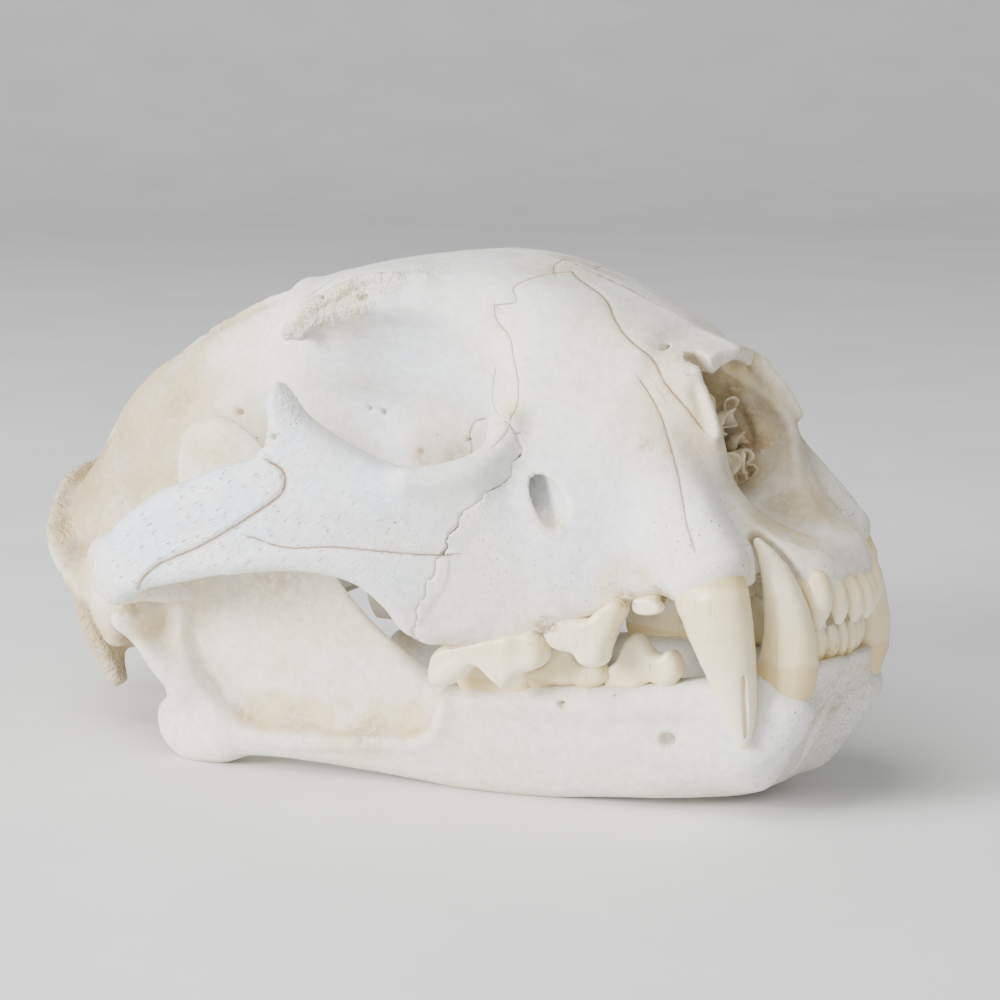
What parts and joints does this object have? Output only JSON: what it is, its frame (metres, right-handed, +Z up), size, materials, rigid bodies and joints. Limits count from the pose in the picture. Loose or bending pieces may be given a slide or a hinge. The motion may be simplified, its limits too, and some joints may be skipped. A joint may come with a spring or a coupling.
{
  "type": "cougar skull",
  "caption": "Life-size cougar skull, jaw closed, resting on its lower jaw, with cheek arches, eye sockets, nose opening and teeth.",
  "frame": {"origin": "centre of the bounding box, at the floor the jaw rests on", "axes": "+X towards the nose, +Y towards the animal's left, +Z up"},
  "size_m": [0.2059, 0.1378, 0.1098],
  "materials": {
    "cranium": "dry off-white bone, ivory teeth",
    "zygomatic_arch_left": "dry off-white bone",
    "zygomatic_arch_right": "dry off-white bone",
    "mandible_left": "dry off-white bone, ivory teeth",
    "mandible_right": "dry off-white bone, ivory teeth"
  },
  "bodies": {
    "root": {"cranium": "cranium", "zygomatic_arch_left": "zygomatic_arch_left", "zygomatic_arch_right": "zygomatic_arch_right", "mandible_left": "mandible_left", "mandible_right": "mandible_right"}
  },
  "joints": []
}
